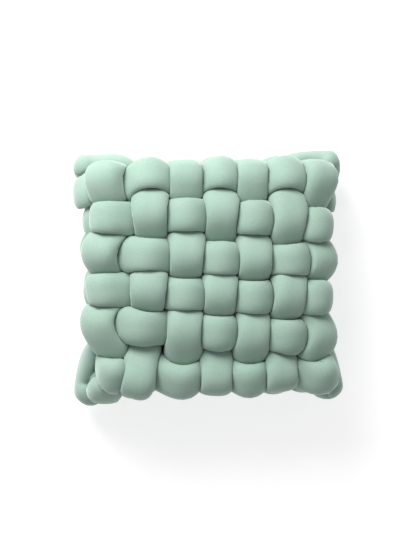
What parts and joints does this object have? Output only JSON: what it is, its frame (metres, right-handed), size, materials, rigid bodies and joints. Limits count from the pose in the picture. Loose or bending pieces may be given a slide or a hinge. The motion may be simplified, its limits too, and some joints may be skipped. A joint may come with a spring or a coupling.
{
  "type": "knot cushion",
  "caption": "Squarish knot cushion plain-woven from closed stuffed cloth tubes, with a crowned face and soft ears at its corners, lying on its back.",
  "frame": {"origin": "on the floor under the middle of the cushion, which lies on its back", "axes": "+X to the right of the face, +Y up the face, +Z out of the face, away from the floor"},
  "size_m": [0.4046, 0.3738, 0.1521],
  "materials": {
    "sage_plush": "soft short plush"
  },
  "bodies": {
    "root": {"upright_1": "sage_plush", "upright_2": "sage_plush", "upright_3": "sage_plush", "upright_4": "sage_plush", "upright_5": "sage_plush", "upright_6": "sage_plush", "upright_7": "sage_plush", "crosswise_1": "sage_plush", "crosswise_2": "sage_plush", "crosswise_3": "sage_plush", "crosswise_4": "sage_plush", "crosswise_5": "sage_plush", "crosswise_6": "sage_plush", "rim": "sage_plush"}
  },
  "joints": []
}
